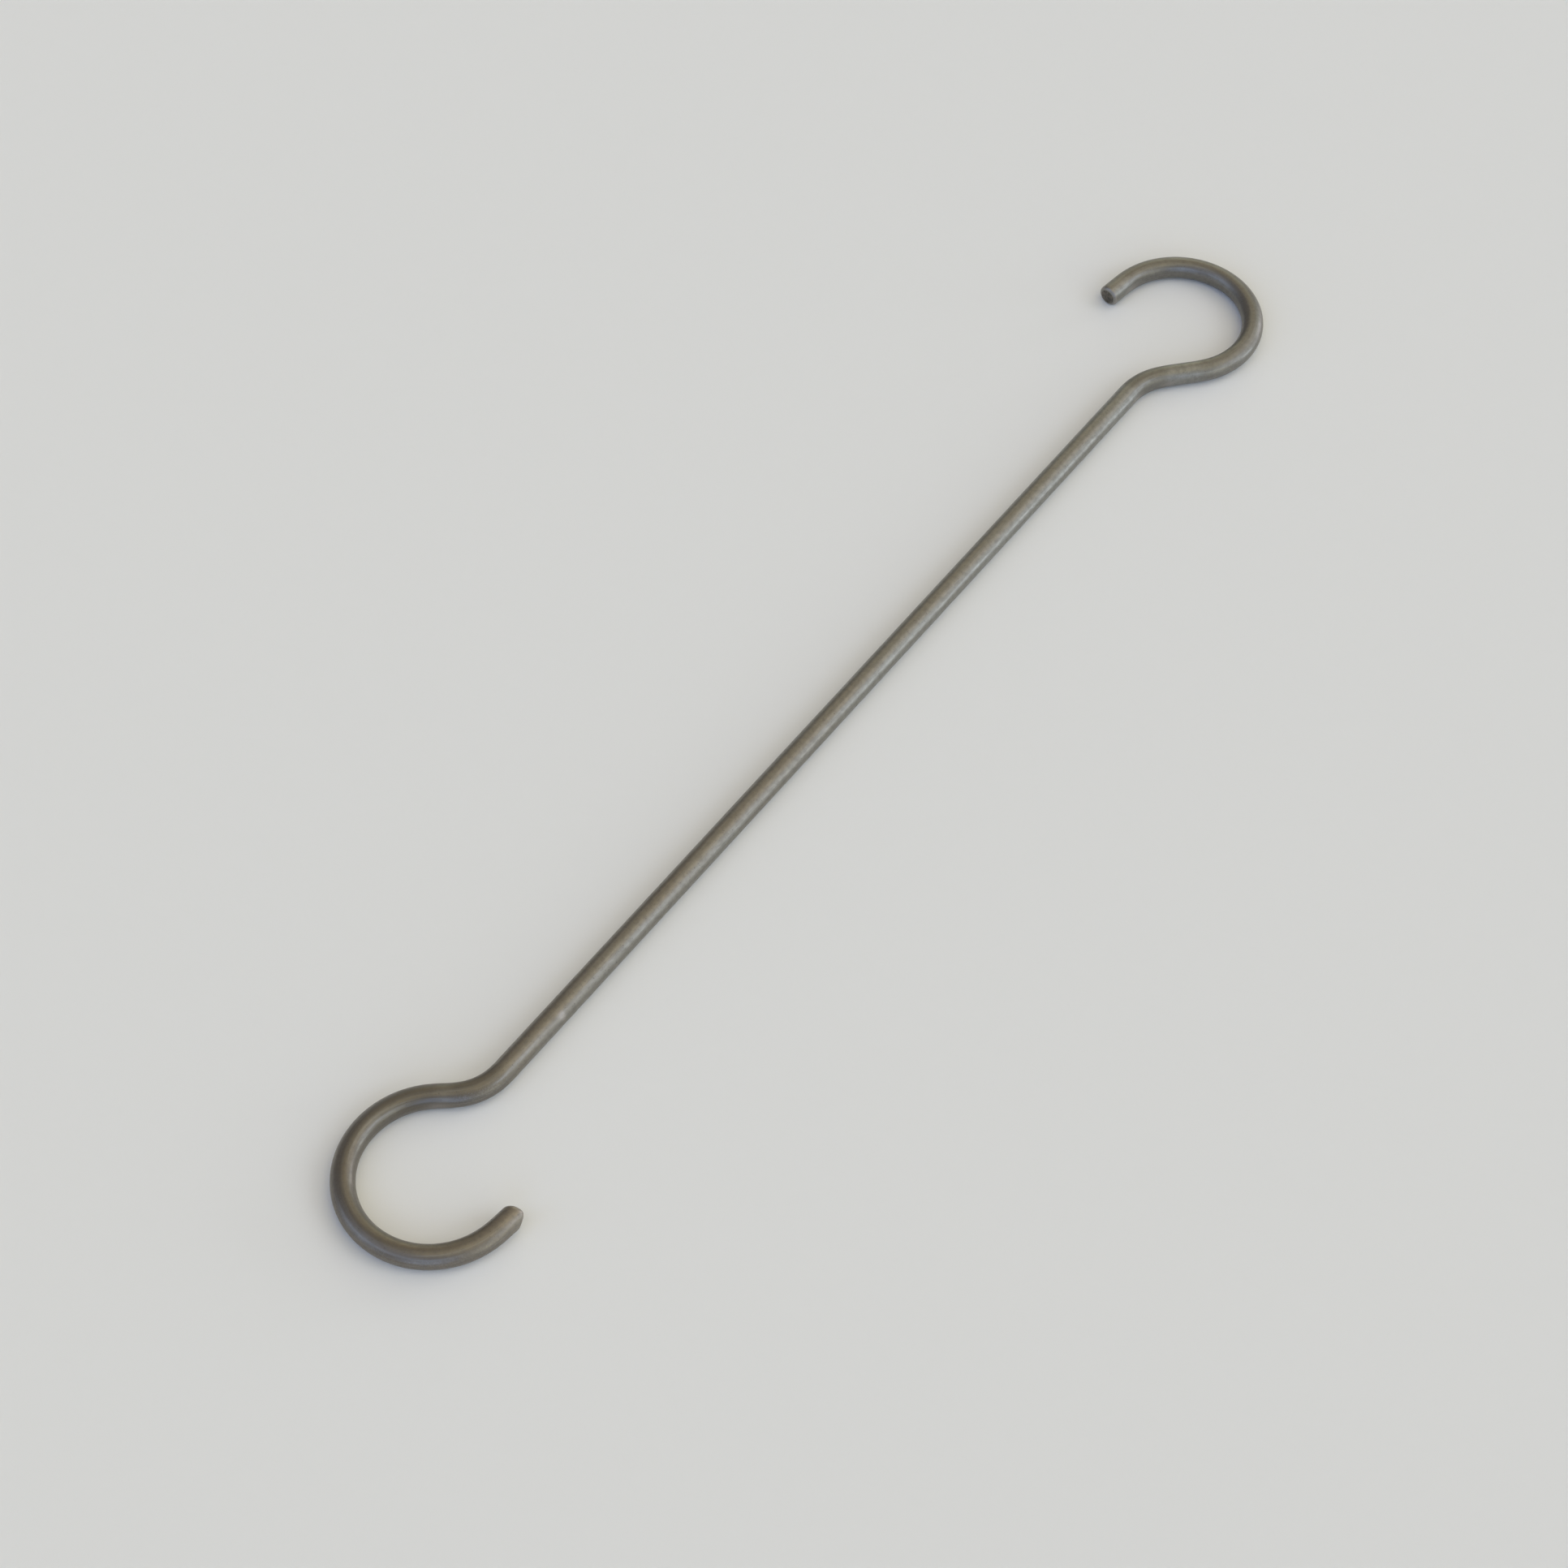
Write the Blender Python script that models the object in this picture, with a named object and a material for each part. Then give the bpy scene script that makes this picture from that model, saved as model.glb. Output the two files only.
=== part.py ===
"""Double-ended hanging hook, bent cold from a single length of round steel bar.

A straight shank runs along X. At each end the bar joggles to one side, then turns back the
other way in an open hook, so the two hooks face opposite ways and the whole bar lies flat.

Metres, +Z up. The origin is the middle of the bounding box's bottom face, so the bar rests
on the plane z = 0, and all of its bends lie in the plane one bar radius above it.
"""

import math
from typing import NamedTuple

import bmesh
import bpy
from mathutils import Vector

# ---------------------------------------------------------------- driving dimensions
INCH = 0.0254
MM = 0.001

BAR_DIAMETER = 3 / 16 * INCH
BAR_RADIUS = BAR_DIAMETER / 2
SHANK_LENGTH = 215.8 * MM
END_CHAMFER = 0.45 * MM


class Hook(NamedTuple):
    """One bent end, from the shank outwards; lengths and radii are on the bar's centreline."""

    joggle_radius: float
    joggle_angle: float
    lead_length: float
    eye_radius: float
    eye_angle: float
    tail_length: float


# The two ends are bent one after the other on the same pegs, and differ by what the bar
# springs back and slips.
PLUS_X_HOOK = Hook(
    joggle_radius=13.2 * MM,
    joggle_angle=math.radians(42.3),
    lead_length=8.0 * MM,
    eye_radius=16.2 * MM,
    eye_angle=math.radians(215.2),
    tail_length=6.0 * MM,
)
MINUS_X_HOOK = Hook(
    joggle_radius=11.8 * MM,
    joggle_angle=math.radians(51.1),
    lead_length=3.0 * MM,
    eye_radius=16.8 * MM,
    eye_angle=math.radians(225.0),
    tail_length=4.7 * MM,
)

# ---------------------------------------------------------------- fineness of the mesh
BAR_SIDES = 24
BEND_STEP = math.radians(6.0)
SHARP_ANGLE = math.radians(30.0)

# ---------------------------------------------------------------- finish
STEEL_COLOUR = (0.205, 0.178, 0.132, 1.0)
STEEL_ROUGHNESS = 0.4


class Station(NamedTuple):
    """A point on the centreline and the direction that the bar runs in there."""

    x: float
    y: float
    heading: float


def clear_scene():
    """Start from an empty scene."""
    for old in list(bpy.data.objects):
        bpy.data.objects.remove(old, do_unlink=True)


def straight(start, length):
    """The station at the far end of a straight run."""
    x = start.x + length * math.cos(start.heading)
    y = start.y + length * math.sin(start.heading)
    return [Station(x, y, start.heading)]


def bend(start, radius, angle):
    """Stations along an arc; a positive angle turns left, a negative one right."""
    steps = math.ceil(abs(angle) / BEND_STEP)
    side = math.copysign(1.0, angle)
    centre_x = start.x - side * radius * math.sin(start.heading)
    centre_y = start.y + side * radius * math.cos(start.heading)
    stations = []
    for step in range(1, steps + 1):
        heading = start.heading + angle * step / steps
        x = centre_x + side * radius * math.sin(heading)
        y = centre_y - side * radius * math.cos(heading)
        stations.append(Station(x, y, heading))
    return stations


def half_bar(hook):
    """Stations from the end of the shank at +X out to the hook's tip."""
    stations = [Station(SHANK_LENGTH / 2, 0.0, 0.0)]
    stations += bend(stations[-1], hook.joggle_radius, -hook.joggle_angle)
    stations += straight(stations[-1], hook.lead_length)
    stations += bend(stations[-1], hook.eye_radius, hook.eye_angle)
    stations += straight(stations[-1], hook.tail_length)
    return stations


def half_turned(station):
    """The same station after half a turn about Z, with the bar still run the same way."""
    return Station(-station.x, -station.y, station.heading)


def centreline():
    """Stations of the whole bar, from the tip at -X to the tip at +X."""
    minus_half = [half_turned(station) for station in half_bar(MINUS_X_HOOK)]
    return minus_half[::-1] + half_bar(PLUS_X_HOOK)


def add_ring(bm, station, radius, advance=0.0):
    """A round section square to the bar, moved along it by advance."""
    along = Vector((math.cos(station.heading), math.sin(station.heading), 0.0))
    across = Vector((-along.y, along.x, 0.0))
    up = Vector((0.0, 0.0, 1.0))
    centre = Vector((station.x, station.y, 0.0)) + advance * along
    ring = []
    for side in range(BAR_SIDES):
        angle = 2 * math.pi * side / BAR_SIDES
        offset = math.cos(angle) * across + math.sin(angle) * up
        ring.append(bm.verts.new(centre + radius * offset))
    return ring


def bar_rings(bm, stations):
    """Rings along the bar, with both cut ends chamfered."""
    first = stations[0]
    last = stations[-1]
    face_radius = BAR_RADIUS - END_CHAMFER
    rings = [add_ring(bm, first, face_radius)]
    rings.append(add_ring(bm, first, BAR_RADIUS, advance=END_CHAMFER))
    for station in stations[1:-1]:
        rings.append(add_ring(bm, station, BAR_RADIUS))
    rings.append(add_ring(bm, last, BAR_RADIUS, advance=-END_CHAMFER))
    rings.append(add_ring(bm, last, face_radius))
    return rings


def skin(bm, rings):
    """Join the rings with quads and close both ends with a flat face."""
    for near, far in zip(rings, rings[1:]):
        for side in range(BAR_SIDES):
            after = (side + 1) % BAR_SIDES
            bm.faces.new((near[side], near[after], far[after], far[side]))
    bm.faces.new(rings[0][::-1])
    bm.faces.new(rings[-1])
    bmesh.ops.recalc_face_normals(bm, faces=bm.faces[:])


def bar_mesh(name):
    """The bar's mesh, with the middle of the shank's axis at its own origin."""
    bm = bmesh.new()
    skin(bm, bar_rings(bm, centreline()))
    mesh = bpy.data.meshes.new(name)
    bm.to_mesh(mesh)
    bm.free()
    mesh.shade_smooth()
    mesh.set_sharp_from_angle(angle=SHARP_ANGLE)
    return mesh


def bottom_centre(mesh):
    """The middle of the bottom face of the mesh's bounding box."""
    lows = Vector(min(vertex.co[axis] for vertex in mesh.vertices) for axis in range(3))
    highs = Vector(max(vertex.co[axis] for vertex in mesh.vertices) for axis in range(3))
    return Vector(((lows.x + highs.x) / 2, (lows.y + highs.y) / 2, lows.z))


def steel(name):
    """Bare drawn steel with a thin brown oxide film, oiled to a satin."""
    material = bpy.data.materials.new(name)
    material.use_nodes = True
    shader = material.node_tree.nodes["Principled BSDF"]
    shader.inputs["Base Color"].default_value = STEEL_COLOUR
    shader.inputs["Metallic"].default_value = 1.0
    shader.inputs["Roughness"].default_value = STEEL_ROUGHNESS
    return material


def add_bent_bar():
    """The whole object: one bar, laid flat on z = 0 and centred on the origin."""
    mesh = bar_mesh("bent_bar")
    mesh.materials.append(steel("oxidised_steel"))
    bar = bpy.data.objects.new("bent_bar", mesh)
    bar.location = -bottom_centre(mesh)
    bpy.context.scene.collection.objects.link(bar)
    return bar


clear_scene()
add_bent_bar()
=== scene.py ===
"""Looks of the double-ended hook: drawn steel bar, bent cold and laid on a pale floor."""

import math
from typing import NamedTuple

import bpy
import numpy as np
from mathutils import Matrix, Vector, noise


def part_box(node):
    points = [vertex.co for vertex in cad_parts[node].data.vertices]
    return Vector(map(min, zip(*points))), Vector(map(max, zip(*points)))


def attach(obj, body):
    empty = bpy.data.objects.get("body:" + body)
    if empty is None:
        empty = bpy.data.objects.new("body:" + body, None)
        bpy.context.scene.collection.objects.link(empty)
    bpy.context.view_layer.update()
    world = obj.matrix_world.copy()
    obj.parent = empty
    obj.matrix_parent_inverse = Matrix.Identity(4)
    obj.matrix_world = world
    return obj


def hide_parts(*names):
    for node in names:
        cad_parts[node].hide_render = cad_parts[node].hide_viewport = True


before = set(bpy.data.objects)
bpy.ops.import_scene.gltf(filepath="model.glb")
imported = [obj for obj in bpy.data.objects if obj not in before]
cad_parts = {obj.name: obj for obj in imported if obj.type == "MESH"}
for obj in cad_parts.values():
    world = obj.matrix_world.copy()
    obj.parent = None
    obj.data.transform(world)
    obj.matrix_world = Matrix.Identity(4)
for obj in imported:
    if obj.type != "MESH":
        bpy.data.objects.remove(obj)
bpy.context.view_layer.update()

# ---------------------------------------------------------------- the bar, as in the CAD part
MM = 0.001
BAR_NODE = "bent_bar"
BODY = "root"

bar_low, bar_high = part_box(BAR_NODE)
BAR_RADIUS = (bar_high.z - bar_low.z) / 2
SHANK_LENGTH = 215.8 * MM


class Hook(NamedTuple):
    """One bent end, from the shank outwards; lengths and radii are on the bar's centreline."""

    joggle_radius: float
    joggle_angle: float
    lead_length: float
    eye_radius: float
    eye_angle: float
    tail_length: float


PLUS_X_HOOK = Hook(
    joggle_radius=13.2 * MM,
    joggle_angle=math.radians(42.3),
    lead_length=8.0 * MM,
    eye_radius=16.2 * MM,
    eye_angle=math.radians(215.2),
    tail_length=6.0 * MM,
)
MINUS_X_HOOK = Hook(
    joggle_radius=11.8 * MM,
    joggle_angle=math.radians(51.1),
    lead_length=3.0 * MM,
    eye_radius=16.8 * MM,
    eye_angle=math.radians(225.0),
    tail_length=4.7 * MM,
)

SHARPEST_RADIUS = min(MINUS_X_HOOK.joggle_radius, PLUS_X_HOOK.joggle_radius)

# ---------------------------------------------------------------- fine shape of the real bar
RING_SIDES = 72
RING_STEP = 0.4 * MM
CURVE_STEP = 0.02 * MM
EDGE_STEPS = 10              # rings on the rounded rim of a cut
FACE_RINGS = 9               # rings on a cut face

BEND_RUN_IN = 3.0 * MM       # length over which a bend comes and goes
PLASTIC_RATIO = 0.5          # how far a bent section swells on its inner side and narrows outside
WAVE_DEPTH = 0.006 * MM      # slow unevenness that the rolls leave
WAVE_LENGTH = 13.0 * MM
PEG_DEPTH = 0.07 * MM        # flats that the bending pegs press into the inner sides
PEG_LENGTH = 2.2 * MM
PEG_WIDTH = 0.34             # radians round the bar

MINUS_X_ROUND = 1.0 * MM     # rounding of the cut ends' rims
PLUS_X_ROUND = 0.7 * MM
CUT_DEPTH = 0.03 * MM        # roughness of the sawn faces
CUT_GRAIN = 0.5 * MM
SAW_DEPTH = 0.6 * CUT_DEPTH  # the saw's lines across them
SAW_PITCH = 0.42 * MM
SKEW_MIDDLE = 0.3 * MM       # the cut at -X is askew: how far it stands out at its middle,
SKEW_OUTWARD = 0.6 * MM      # how much more on the outside of the hook,
SKEW_UPWARD = 0.4 * MM       # and how much more at the top
SKEW_REACH = 6.0 * MM
GROUND_DEPTH = 2.2 * MM      # how much the same tip is ground away on the outside of the hook
GROUND_REACH = 1.7 * MM
GROUND_START = 0.27          # from the middle of the bar (0) to its outermost line (1)
GROUND_TILT = math.radians(14.0)

STAIN_ALONG = 67.5 * MM      # the darkest film, where the hook at -X meets its joggle
STAIN_REACH = 9.0 * MM
HANDLED_REACH = 8.0 * MM     # the tip at -X is rubbed paler
RIM_WEAR = 0.35              # how far the rims of the cuts are worn bare

WAVE_SEED = 3.1              # each noise is read from a place of its own
CUT_SEED = 7.7


class Dent(NamedTuple):
    """A shallow pressed mark: where it is along and round the bar, and how big."""

    along: float
    around: float
    length: float
    width: float
    depth: float


NICK = Dent(
    along=100.2 * MM,
    around=math.radians(-222.0),
    length=0.9 * MM,
    width=0.5,
    depth=0.04 * MM,
)


def hook_runs(hook):
    """(length, turn) of each straight or bend of a hook, from the shank outwards."""
    return [
        (hook.joggle_radius * hook.joggle_angle, -hook.joggle_angle),
        (hook.lead_length, 0.0),
        (hook.eye_radius * hook.eye_angle, hook.eye_angle),
        (hook.tail_length, 0.0),
    ]


def bar_runs():
    """(length, turn) of each straight or bend from the tip at -X to the tip at +X."""
    inward = [(length, -turn) for length, turn in reversed(hook_runs(MINUS_X_HOOK))]
    return inward + [(SHANK_LENGTH, 0.0)] + hook_runs(PLUS_X_HOOK)


class Centreline:
    """The bar's centreline in its own plane, as tables against the length along it."""

    def __init__(self):
        lengths = np.array([length for length, turn in bar_runs()])
        bends = np.array([turn / length for length, turn in bar_runs()])
        ends = np.cumsum(lengths)
        self.length = float(ends[-1])
        self.along = np.linspace(0.0, self.length, int(self.length / CURVE_STEP) + 1)
        step = self.along[1]
        run = np.minimum(np.searchsorted(ends, self.along, side="right"), len(bends) - 1)
        window = np.hanning(int(BEND_RUN_IN / step))
        self.curvature = np.convolve(bends[run], window / window.sum(), mode="same")
        turned = np.cumsum(self.curvature) * step
        shank_start = ends[len(hook_runs(MINUS_X_HOOK)) - 1]
        middle = np.searchsorted(self.along, shank_start + SHANK_LENGTH / 2)
        self.heading = turned - turned[middle]
        self.x = np.cumsum(np.cos(self.heading)) * step
        self.y = np.cumsum(np.sin(self.heading)) * step

    def at(self, along):
        """x, y, heading and curvature at each of these lengths."""
        tables = (self.x, self.y, self.heading, self.curvature)
        return tuple(np.interp(along, self.along, table) for table in tables)


def peg_flats():
    """The flats at the start and end of each bend, on its inner side."""
    flats = []
    start = 0.0
    for length, turn in bar_runs():
        if turn:
            inner_side = 0.0 if turn > 0 else math.pi
            for place in (start, start + length):
                flats.append(Dent(place, inner_side, PEG_LENGTH, PEG_WIDTH, PEG_DEPTH))
        start += length
    return flats


def pressed(dent, along, around):
    """How deep a dent is at each point, from 0 to 1."""
    turn = np.angle(np.exp(1j * (around - dent.around)))
    return np.exp(-(((along - dent.along) / dent.length) ** 2) - (turn / dent.width) ** 2)


def ground_off(along, across, up):
    """From 0 to 1, how far the tip at -X is ground back at each point."""
    outward = (across * math.cos(GROUND_TILT) - up * math.sin(GROUND_TILT)) / BAR_RADIUS
    share = np.clip((outward - GROUND_START) / (1 - GROUND_START), 0, 1)
    return share**2 * np.exp(-along / GROUND_REACH)


def skewed(along, across, up):
    """How far the askew cut at -X stands out beyond a square one, in metres."""
    standing_out = SKEW_MIDDLE + (SKEW_OUTWARD * across + SKEW_UPWARD * up) / BAR_RADIUS
    return standing_out * np.exp(-along / SKEW_REACH)


def cut_end(rounding):
    """A cut end's radii on its face, and its rim's distances from the face and radii."""
    face_radius = BAR_RADIUS - rounding
    shares = (np.arange(FACE_RINGS) + 0.5) / FACE_RINGS
    turns = np.linspace(0.0, math.pi / 2, EDGE_STEPS)
    rim_along = rounding * (1 - np.cos(turns))
    rim_radius = face_radius + rounding * np.sin(turns)
    return face_radius * shares, rim_along, rim_radius


def bar_profile(length):
    """(along, radius, out_along) of every ring, from the middle of one cut face to the other's.

    out_along is how far a ring's surface faces along the bar: -1 on the first cut face, 0 on
    the bar's side and 1 on the last cut face.
    """
    side_count = int((length - MINUS_X_ROUND - PLUS_X_ROUND) / RING_STEP)
    side = np.linspace(MINUS_X_ROUND, length - PLUS_X_ROUND, side_count + 1)[1:-1]
    face = np.zeros(FACE_RINGS)
    rim_out = np.cos(np.linspace(0.0, math.pi / 2, EDGE_STEPS))
    first_face, first_along, first_radius = cut_end(MINUS_X_ROUND)
    last_face, last_along, last_radius = cut_end(PLUS_X_ROUND)

    along = [face, first_along, side, length - last_along[::-1], face + length]
    radius = [first_face, first_radius, 0 * side + BAR_RADIUS, last_radius[::-1], last_face[::-1]]
    out_along = [face - 1, -rim_out, 0 * side, rim_out[::-1], face + 1]
    return np.concatenate(along), np.concatenate(radius), np.concatenate(out_along)


def field(points, scale, seed):
    """Smooth noise from -1 to 1 at each point, with features about 1 / scale across."""
    shift = Vector((seed, -seed, 2.0 * seed))
    return np.array([noise.noise(Vector(point) * scale + shift) for point in points])


def bar_surface(line):
    """Vertices of the whole bar and what its material reads, ring after ring."""
    ring_along, ring_radius, ring_out = bar_profile(line.length)
    turns = 2 * math.pi * np.arange(RING_SIDES) / RING_SIDES
    along, around = (grid.ravel() for grid in np.meshgrid(ring_along, turns, indexing="ij"))
    radius = np.repeat(ring_radius, RING_SIDES)
    out = np.repeat(ring_out, RING_SIDES)
    unbent = np.stack([along, radius * np.cos(around), radius * np.sin(around)], axis=1)

    # The side moves in and out, and the cut faces move along the bar.
    waves = WAVE_DEPTH * field(unbent, 1 / WAVE_LENGTH, seed=WAVE_SEED)
    flats = sum(pressed(flat, along, around) for flat in peg_flats())
    nick = pressed(NICK, along, around)
    across_face = np.abs(out)
    rough = CUT_DEPTH * field(unbent, 1 / CUT_GRAIN, seed=CUT_SEED)
    saw = SAW_DEPTH * np.sin(2 * math.pi * unbent[:, 1] / SAW_PITCH)
    sunk = (1 - across_face) * (PEG_DEPTH * flats + NICK.depth * nick - waves)
    raised = across_face * (rough + saw)
    radius = radius - sunk

    # A bend swells the section on its inner side and narrows it on its outer side.
    x, y, heading, curvature = (np.repeat(table, RING_SIDES) for table in line.at(ring_along))
    across = radius * np.cos(around)
    up = radius * np.sin(around) * (1 + PLASTIC_RATIO * curvature * across)
    ground = ground_off(along, across, up)
    forward = np.sign(out) * raised + GROUND_DEPTH * ground - skewed(along, across, up)
    points = np.stack(
        [
            x + forward * np.cos(heading) - across * np.sin(heading),
            y + forward * np.sin(heading) + across * np.cos(heading),
            up,
        ],
        axis=1,
    )
    return points, {
        "unbent_mm": unbent / MM,
        "stretch": -curvature * across,
        "bent": np.abs(curvature) * SHARPEST_RADIUS,
        "stain": np.exp(-(((along - STAIN_ALONG) / STAIN_REACH) ** 2)),
        "handled": np.exp(-along / HANDLED_REACH),
        "rim": RIM_WEAR * np.maximum(np.sin(math.pi * across_face), ground),
        "pressed": np.clip(flats, 0, 1),
        "nick": nick,
    }


def bar_faces(ring_count):
    """Quads between the rings, and a small disc at the middle of each cut face."""
    ring = np.arange(ring_count - 1)[:, None] * RING_SIDES
    after_ring = ring + RING_SIDES
    side = np.arange(RING_SIDES)[None, :]
    after = (side + 1) % RING_SIDES
    corners = [ring + side, ring + after, after_ring + after, after_ring + side]
    quads = np.stack(corners, axis=-1)
    faces = [tuple(map(int, quad)) for quad in quads.reshape(-1, 4)]
    last = (ring_count - 1) * RING_SIDES
    faces.append(tuple(range(RING_SIDES))[::-1])
    faces.append(tuple(range(last, last + RING_SIDES)))
    return faces


def add_attribute(mesh, name, values):
    """Store one number or one vector for each vertex."""
    kind = "FLOAT_VECTOR" if values.ndim == 2 else "FLOAT"
    key = "vector" if values.ndim == 2 else "value"
    attribute = mesh.attributes.new(name, kind, "POINT")
    attribute.data.foreach_set(key, values.astype(np.float32).ravel())


def build_bar():
    """The bar as one closed mesh, lying where the CAD bar lies."""
    line = Centreline()
    points, readings = bar_surface(line)
    low = points.min(axis=0)
    high = points.max(axis=0)
    target = np.array((bar_low + bar_high) / 2)
    points[:, :2] += (target - (low + high) / 2)[:2]
    points[:, 2] -= low[2] - bar_low.z
    ring_count = len(points) // RING_SIDES
    mesh = bpy.data.meshes.new("drawn_bar")
    mesh.from_pydata(points.tolist(), [], bar_faces(ring_count))
    for name, values in readings.items():
        add_attribute(mesh, name, values)
    mesh.shade_smooth()
    mesh.update()
    bar = bpy.data.objects.new("drawn_bar", mesh)
    bpy.context.scene.collection.objects.link(bar)
    return bar, ring_count


def paint_faces(bar, ring_count):
    """The first material on the bar's side and rims, and the second on the two cut faces."""
    rows = np.repeat(np.arange(ring_count - 1), RING_SIDES)
    cut = (rows < FACE_RINGS) | (rows >= ring_count - 1 - FACE_RINGS)
    slots = np.concatenate([cut, [True, True]]).astype(np.int32)
    bar.data.polygons.foreach_set("material_index", slots)
    bar.data.update()


# ---------------------------------------------------------------- material building blocks
MIX_SHARE, MIX_FIRST, MIX_SECOND = 0, 6, 7  # a colour Mix node's inputs, which share their names
MIX_COLOUR = 2                              # and its colour output


class Nodes:
    """A material's node tree, with one short call for each kind of node used here."""

    def __init__(self, name):
        self.material = bpy.data.materials.new(name)
        self.material.use_nodes = True
        self.tree = self.material.node_tree
        self.shader = self.tree.nodes["Principled BSDF"]

    def add(self, kind, inputs=(), **settings):
        """A node of that kind with settings, and inputs given by name or number."""
        node = self.tree.nodes.new(kind)
        for key, value in settings.items():
            setattr(node, key, value)
        for key, value in dict(inputs).items():
            self.feed(node.inputs[key], value)
        return node

    def feed(self, socket, value):
        """Link a socket to another, or give it a plain value."""
        if isinstance(value, bpy.types.NodeSocket):
            self.tree.links.new(value, socket)
        else:
            socket.default_value = value

    def reading(self, name, output="Fac"):
        """A number or vector stored on the mesh."""
        return self.add("ShaderNodeAttribute", attribute_name=name).outputs[output]

    def scaled(self, vector, scale):
        """A vector with each part multiplied."""
        node = self.add("ShaderNodeVectorMath", {0: vector, 1: scale}, operation="MULTIPLY")
        return node.outputs[0]

    def noise(self, vector, detail, scale=1.0, roughness=0.5):
        """Fractal noise from about 0 to 1."""
        inputs = {"Vector": vector, "Scale": scale, "Detail": detail, "Roughness": roughness}
        return self.add("ShaderNodeTexNoise", inputs).outputs["Fac"]

    def remap(self, value, low, high, new_low=0.0, new_high=1.0):
        """Value from low to high turned into new_low to new_high, and held there."""
        inputs = {"Value": value, "From Min": low, "From Max": high}
        inputs |= {"To Min": new_low, "To Max": new_high}
        return self.add("ShaderNodeMapRange", inputs, interpolation_type="SMOOTHSTEP").outputs[0]

    def maths(self, operation, first, second):
        """One sum of two numbers."""
        return self.add("ShaderNodeMath", {0: first, 1: second}, operation=operation).outputs[0]

    def mix(self, share, first, second):
        """Colour from first to second by share."""
        node = self.add("ShaderNodeMix", data_type="RGBA")
        for index, value in ((MIX_SHARE, share), (MIX_FIRST, first), (MIX_SECOND, second)):
            self.feed(node.inputs[index], value)
        return node.outputs[MIX_COLOUR]

    def bump(self, height, depth, normal=None):
        """A normal that follows height, which stands for depth metres from 0 to 1."""
        inputs = {"Height": height, "Distance": depth, "Strength": 1.0}
        if normal is not None:
            inputs["Normal"] = normal
        return self.add("ShaderNodeBump", inputs).outputs[0]

    def finish(self, **inputs):
        """Feed the Principled shader; an underscore in a name stands for a space."""
        for key, value in inputs.items():
            self.feed(self.shader.inputs[key.replace("_", " ")], value)
        return self.material


# ---------------------------------------------------------------- the two finishes
BARE_STEEL = (0.50, 0.45, 0.42, 1)
BROWN_FILM = (0.210, 0.180, 0.138, 1)
GREY_FILM = (0.262, 0.262, 0.238, 1)
BENT_FILM = (0.130, 0.115, 0.092, 1)
STAINED_FILM = (0.085, 0.072, 0.058, 1)
HANDLED_FILM = (0.36, 0.32, 0.27, 1)
MOTTLED_FILM = (0.136, 0.125, 0.107, 1)
STREAKED_FILM = (0.282, 0.280, 0.266, 1)
SPECKED_FILM = (0.072, 0.061, 0.051, 1)
PAINTED_FALLOFF_FROM_MM = 30.0      # along the bar: painted shade darkening the -X end, where less light falls, starts to lift here, and the film is as grey and light as this lift takes it here
PAINTED_FALLOFF_TO_MM = 280.0       # and has gone grey here
DRAWN_OUT = (0.035, 1.0, 1.0)    # how fast noise changes along and across the bar
BROAD_PATCHES = (0.028, 0.16, 0.16)
DIE_LINE_DEPTH = 0.010 * MM
MOTTLE_DEPTH = 0.006 * MM
PEEL_DEPTH = 0.020 * MM

# the cut faces' dark tone: partly oxide, partly painted shade
CUT_OXIDE_AND_SHADE = (0.074, 0.069, 0.057, 1)
CUT_BROWN = (0.165, 0.144, 0.112, 1)
CUT_BRIGHT = (0.36, 0.33, 0.28, 1)
SAW_STREAKS = (1.0, 5.5, 0.4)    # close together across the face, and long up it
SAW_LINE_DEPTH = 0.03 * MM


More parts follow.
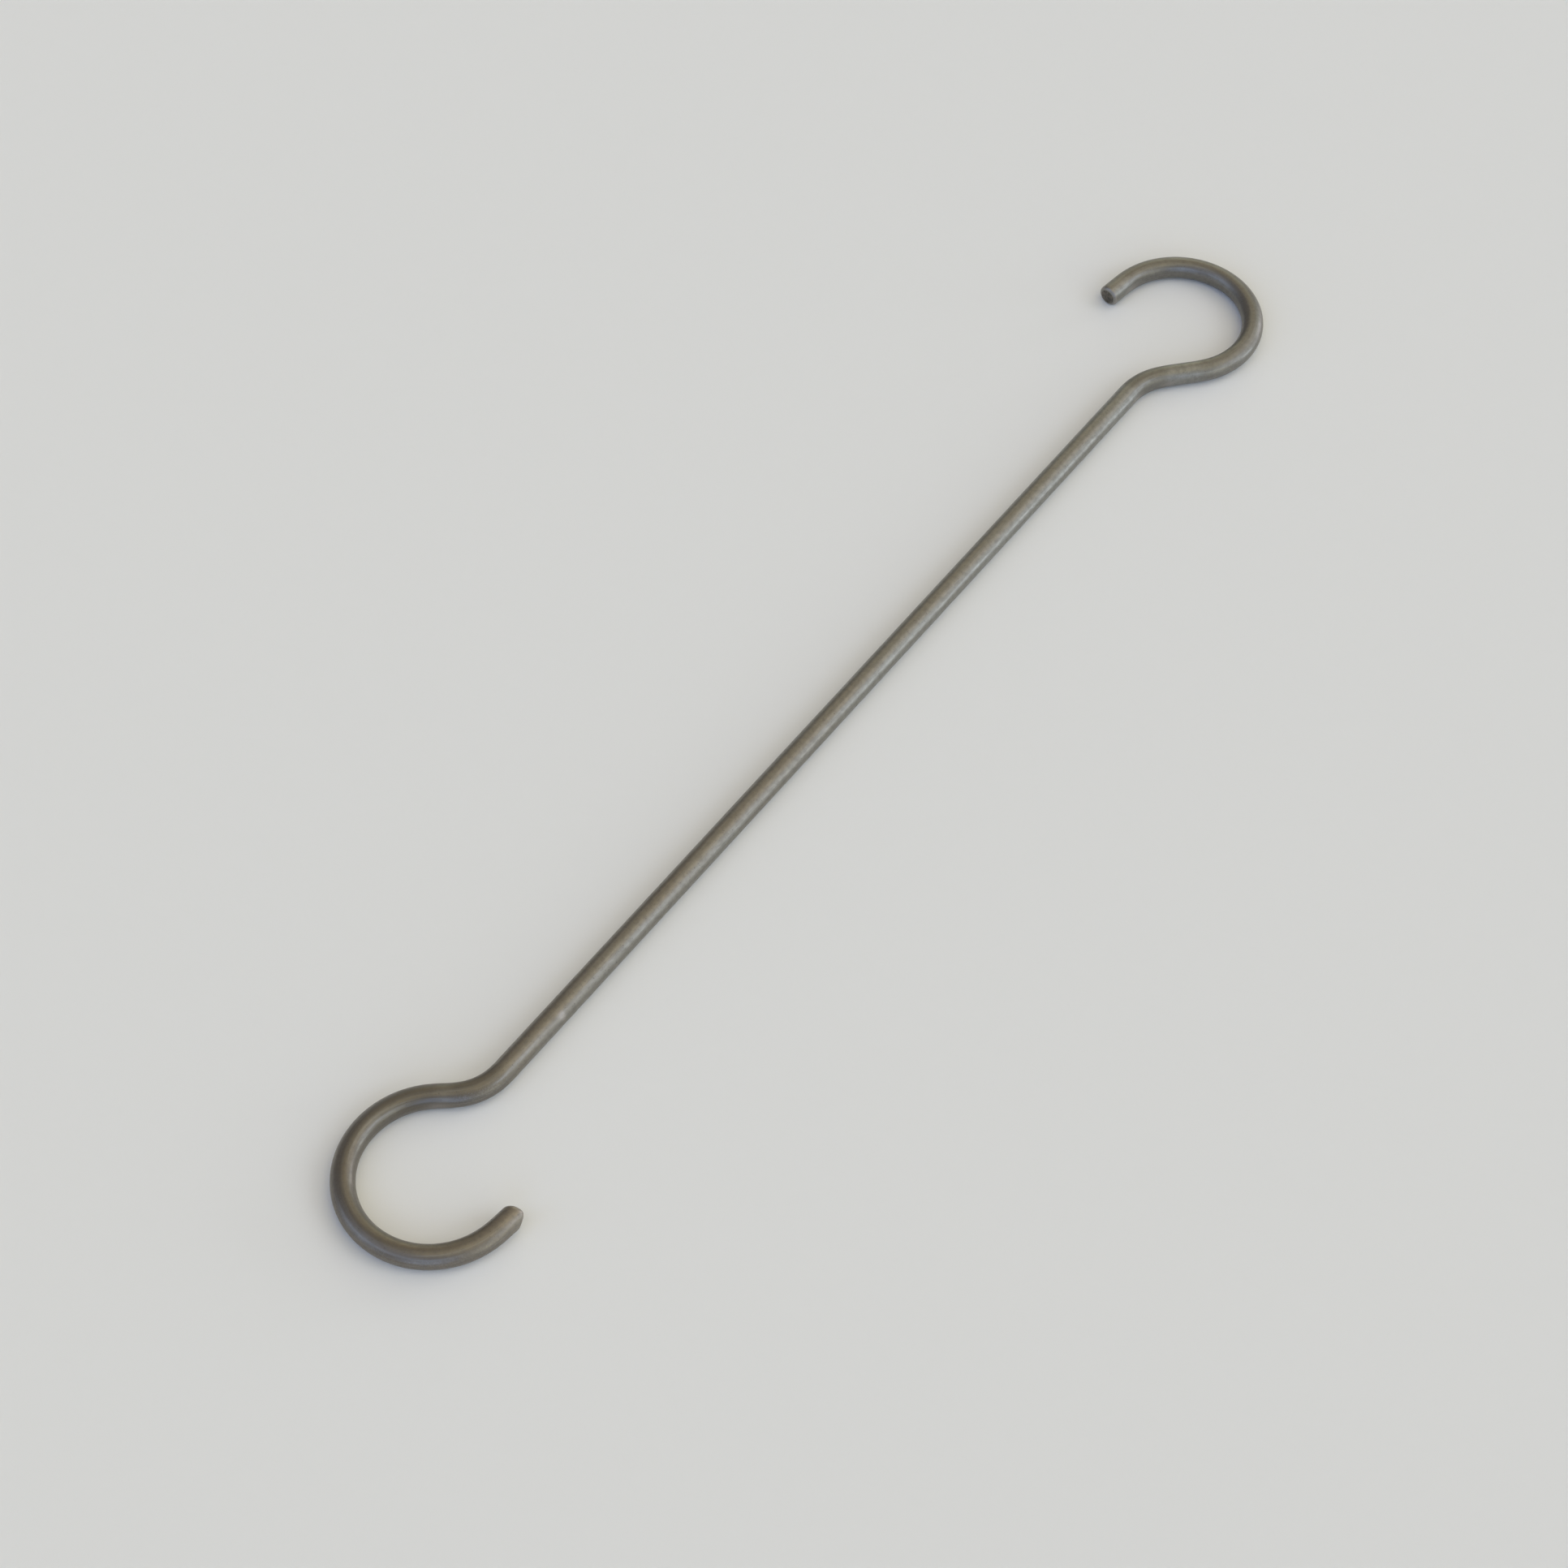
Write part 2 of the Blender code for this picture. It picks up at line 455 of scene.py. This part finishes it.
def oxidised_steel():
    """Drawn steel under a thin olive-brown oxide film, oiled, and rubbed bare at the rims."""
    n = Nodes("oxidised_steel")
    place = n.reading("unbent_mm", "Vector")
    lengthwise = n.scaled(place, DRAWN_OUT)

    broad = n.noise(n.scaled(place, BROAD_PATCHES), detail=3.0, roughness=0.55)
    mottle = n.noise(place, scale=0.85, detail=5.0, roughness=0.62)
    streaks = n.noise(lengthwise, scale=1.7, detail=4.0, roughness=0.6)
    die_lines = n.noise(lengthwise, scale=7.5, detail=3.0, roughness=0.7)
    grit = n.noise(place, scale=3.4, detail=3.0)
    specks = n.remap(grit, 0.66, 0.72)

    # The film goes from brown at the -X hook to grey towards the other one: partly in random broad
    # patches, and partly as a steady painted shade that darkens the -X end, where less light
    # falls.
    along = n.add("ShaderNodeSeparateXYZ", {0: place}).outputs[0]
    # random broad patches plus a painted shade along the bar, darkest at the -X end
    patches_and_painted_falloff = n.maths(
        "ADD",
        n.remap(along, PAINTED_FALLOFF_FROM_MM, PAINTED_FALLOFF_TO_MM, 0.0, 0.7),
        n.remap(broad, 0.36, 0.66, 0.0, 0.3),
    )
    film = n.mix(patches_and_painted_falloff, BROWN_FILM, GREY_FILM)
    film = n.mix(n.maths("MULTIPLY", n.reading("bent"), 0.6), film, BENT_FILM)
    film = n.mix(n.maths("MULTIPLY", n.reading("stain"), 0.35), film, STAINED_FILM)
    film = n.mix(n.maths("MULTIPLY", n.reading("handled"), 0.35), film, HANDLED_FILM)
    film = n.mix(n.remap(mottle, 0.35, 0.7, 0.0, 0.4), film, MOTTLED_FILM)
    film = n.mix(n.remap(streaks, 0.45, 0.75, 0.0, 0.4), film, STREAKED_FILM)
    film = n.mix(n.maths("MULTIPLY", specks, 0.5), film, SPECKED_FILM)

    # It is gone where the bar is worn, pressed, scraped or, as fine crazing, stretched.
    stretched = n.remap(n.reading("stretch"), 0.03, 0.14)
    crazed = n.maths("MULTIPLY", stretched, n.remap(grit, 0.46, 0.64))
    rubbed = n.maths("MULTIPLY", n.reading("pressed"), n.remap(mottle, 0.3, 0.55, 0.1, 0.35))
    worn_rim = n.maths("MULTIPLY", n.reading("rim"), n.remap(mottle, 0.3, 0.6, 0.5, 1.0))
    scraped = n.maths("ADD", n.reading("nick"), n.remap(grit, 0.3, 0.7, -0.12, 0.12))
    scraped = n.remap(scraped, 0.12, 0.85, 0.0, 0.42)
    bare = n.maths("MAXIMUM", rubbed, n.maths("MULTIPLY", crazed, 0.16))
    bare = n.maths("MAXIMUM", worn_rim, bare)
    bare = n.maths("MAXIMUM", bare, scraped)
    colour = n.mix(n.maths("MULTIPLY", bare, 0.75), film, BARE_STEEL)

    roughness = n.remap(mottle, 0.3, 0.7, 0.41, 0.49)
    roughness = n.maths("ADD", roughness, n.remap(die_lines, 0.3, 0.7, -0.05, 0.05))
    roughness = n.maths("ADD", roughness, n.maths("MULTIPLY", specks, 0.15))
    roughness = n.maths("SUBTRACT", roughness, n.maths("MULTIPLY", bare, 0.10))

    normal = n.bump(die_lines, DIE_LINE_DEPTH)
    normal = n.bump(mottle, MOTTLE_DEPTH, normal)
    peel = n.maths("MULTIPLY", stretched, n.noise(place, scale=2.2, detail=1.0))
    normal = n.bump(peel, PEEL_DEPTH, normal)
    return n.finish(
        Base_Color=colour,
        Metallic=0.85,
        Roughness=roughness,
        Normal=normal,
        Coat_Weight=0.35,
        Coat_Roughness=0.25,
    )


def cut_steel():
    """The two sawn faces, rough, and dark partly from oxide and partly as painted shade."""
    n = Nodes("cut_steel")
    place = n.reading("unbent_mm", "Vector")
    saw_lines = n.noise(n.scaled(place, SAW_STREAKS), detail=3.0, roughness=0.6)
    stain = n.noise(place, scale=1.1, detail=4.0, roughness=0.6)
    # the dark here is partly oxide and partly painted shade
    colour = n.mix(n.remap(stain, 0.35, 0.65), CUT_OXIDE_AND_SHADE, CUT_BROWN)
    colour = n.mix(n.remap(saw_lines, 0.5, 0.75, 0.0, 0.5), colour, CUT_BRIGHT)
    ground = n.maths("MULTIPLY", n.reading("rim"), n.remap(stain, 0.3, 0.6, 0.6, 1.0))
    colour = n.mix(ground, colour, BARE_STEEL)
    return n.finish(
        Base_Color=colour,
        Metallic=0.7,
        Roughness=n.remap(stain, 0.3, 0.7, 0.5, 0.68),
        Normal=n.bump(saw_lines, SAW_LINE_DEPTH),
    )


bar, ring_count = build_bar()
bar.data.materials.append(oxidised_steel())
bar.data.materials.append(cut_steel())
paint_faces(bar, ring_count)
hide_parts(BAR_NODE)
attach(bar, BODY)

# ---------------------------------------------------------------- camera
CAMERA_AZIMUTH = -53.42      # degrees; 0 looks along +Y, and negative swings towards -X
CAMERA_ELEVATION = 54.38
CAMERA_ROLL = 0.18
CAMERA_DISTANCE = 637.1 * MM
CAMERA_TARGET = Vector((-22.81 * MM, -1.92 * MM, BAR_RADIUS))
CAMERA_NEAR = 0.05
CAMERA_FAR = 36.0
LENS_MM = 72.92
SENSOR_MM = 36.0


def direction(azimuth, elevation):
    """The unit vector towards a place, by the same angles as the camera's own."""
    a = math.radians(azimuth)
    e = math.radians(elevation)
    return Vector((math.sin(a) * math.cos(e), -math.cos(a) * math.cos(e), math.sin(e)))


def add_camera():
    """A long lens looking down across the bar."""
    data = bpy.data.cameras.new("camera")
    data.lens = LENS_MM
    data.sensor_width = SENSOR_MM
    data.dof.use_dof = False
    data.clip_start = CAMERA_NEAR
    data.clip_end = CAMERA_FAR
    camera = bpy.data.objects.new("camera", data)
    back = direction(CAMERA_AZIMUTH, CAMERA_ELEVATION)
    aim = (-back).to_track_quat("-Z", "Y").to_matrix().to_4x4()
    place = Matrix.Translation(CAMERA_TARGET + CAMERA_DISTANCE * back)
    camera.matrix_world = place @ aim @ Matrix.Rotation(math.radians(CAMERA_ROLL), 4, "Z")
    bpy.context.scene.collection.objects.link(camera)
    bpy.context.scene.camera = camera


# ---------------------------------------------------------------- floor and light
FLOOR_RADIUS = 12.0
FLOOR_SIDES = 96
FLOOR_DROP = 0.02 * MM       # keeps the floor's face off the bar's underside
FLOOR_COLOUR = (0.834, 0.838, 0.820, 1)
BACKDROP_COLOUR = (0.648, 0.651, 0.635, 1)  # the floor's own tone once it is lit
BLACK = (0, 0, 0, 1)
WORLD_COLOUR = (1.00, 0.91, 0.87, 1)
WORLD_STRENGTH = 0.223


def floor_rim(height):
    """Points round the floor's rim, at that height."""
    turns = 2 * math.pi * np.arange(FLOOR_SIDES) / FLOOR_SIDES
    return [(FLOOR_RADIUS * math.cos(t), FLOOR_RADIUS * math.sin(t), height) for t in turns]


def add_floor():
    """A plain pale matt floor just under the bar."""
    mesh = bpy.data.meshes.new("floor")
    mesh.from_pydata(floor_rim(0.0), [], [tuple(range(FLOOR_SIDES))])
    floor = bpy.data.objects.new("floor", mesh)
    floor.location.z = -FLOOR_DROP
    n = Nodes("pale_floor")
    mesh.materials.append(n.finish(Base_Color=FLOOR_COLOUR, Roughness=0.8, Specular_IOR_Level=0.0))
    bpy.context.scene.collection.objects.link(floor)


def add_backdrop():
    """A plain wall far round the floor, of the floor's own tone; only the camera sees it."""
    faces = []
    for side in range(FLOOR_SIDES):
        after = (side + 1) % FLOOR_SIDES
        faces.append((side, after, FLOOR_SIDES + after, FLOOR_SIDES + side))
    mesh = bpy.data.meshes.new("backdrop")
    mesh.from_pydata(floor_rim(-FLOOR_DROP) + floor_rim(FLOOR_RADIUS), [], faces)
    wall = bpy.data.objects.new("backdrop", mesh)
    wall.visible_diffuse = False
    wall.visible_glossy = False
    wall.visible_shadow = False
    n = Nodes("pale_backdrop")
    glow = n.finish(
        Base_Color=BLACK,
        Specular_IOR_Level=0.0,
        Emission_Color=BACKDROP_COLOUR,
        Emission_Strength=1.0,
    )
    mesh.materials.append(glow)
    bpy.context.scene.collection.objects.link(wall)


class Light(NamedTuple):
    """Even light from one part of the room; swing, elevation and spread are in degrees.

    The swing is counted from the camera's azimuth, to the right.
    """

    name: str
    swing: float
    elevation: float
    spread: float
    colour: tuple
    strength: float


LIGHTS = (
    Light("window_sky", 76.0, 32.0, 30.0, (0.77, 0.86, 1.0), 0.51),
    Light("window_ground", 88.0, 6.0, 18.0, (0.83, 0.92, 1.0), 0.44),
    Light("window_side", 127.0, 25.0, 30.0, (0.91, 1.0, 0.95), 0.21),
    Light("window_ground_side", 120.0, 7.0, 20.0, (0.91, 0.91, 1.0), 0.38),
    Light("window_head", 112.0, 48.0, 34.0, (1.0, 0.92, 0.84), 0.29),
    Light("front_right_wall", 42.0, 28.0, 36.0, (0.94, 1.0, 0.97), 0.20),
    Light("front_right_skirting", 48.0, 10.0, 24.0, (0.96, 1.0, 0.88), 0.26),
    Light("ceiling", 60.0, 76.0, 50.0, (1.0, 0.91, 0.60), 0.48),
    Light("left_sky", -69.0, 20.0, 45.0, (0.52, 0.68, 1.0), 0.50),
    Light("left_wall", -60.0, 55.0, 45.0, (0.60, 0.71, 1.0), 0.32),
    Light("front_sky", -5.0, 18.0, 45.0, (0.46, 0.63, 1.0), 0.74),
    Light("back_wall", 172.0, 42.0, 45.0, (1.0, 0.85, 0.52), 0.23),
    Light("back_skirting", 172.0, 14.0, 40.0, (0.92, 1.0, 0.78), 0.25),
)


def add_light(light):
    """A sun as wide as that part of the room, so that it lights the whole floor evenly."""
    data = bpy.data.lights.new(light.name, "SUN")
    data.angle = math.radians(light.spread)
    data.energy = light.strength
    data.color = light.colour
    lamp = bpy.data.objects.new(light.name, data)
    toward = direction(CAMERA_AZIMUTH + light.swing, light.elevation)
    lamp.location = toward
    lamp.rotation_euler = toward.to_track_quat("Z", "Y").to_euler()
    bpy.context.scene.collection.objects.link(lamp)


def add_world():
    """Even light from all round."""
    world = bpy.data.worlds.new("soft_room")
    world.use_nodes = True
    background = world.node_tree.nodes["Background"]
    background.inputs["Color"].default_value = WORLD_COLOUR
    background.inputs["Strength"].default_value = WORLD_STRENGTH
    bpy.context.scene.world = world


# The colours and the light here are balanced for the plain sRGB view.
bpy.context.scene.view_settings.view_transform = "Standard"
add_camera()
add_floor()
add_backdrop()
add_world()
for light in LIGHTS:
    add_light(light)
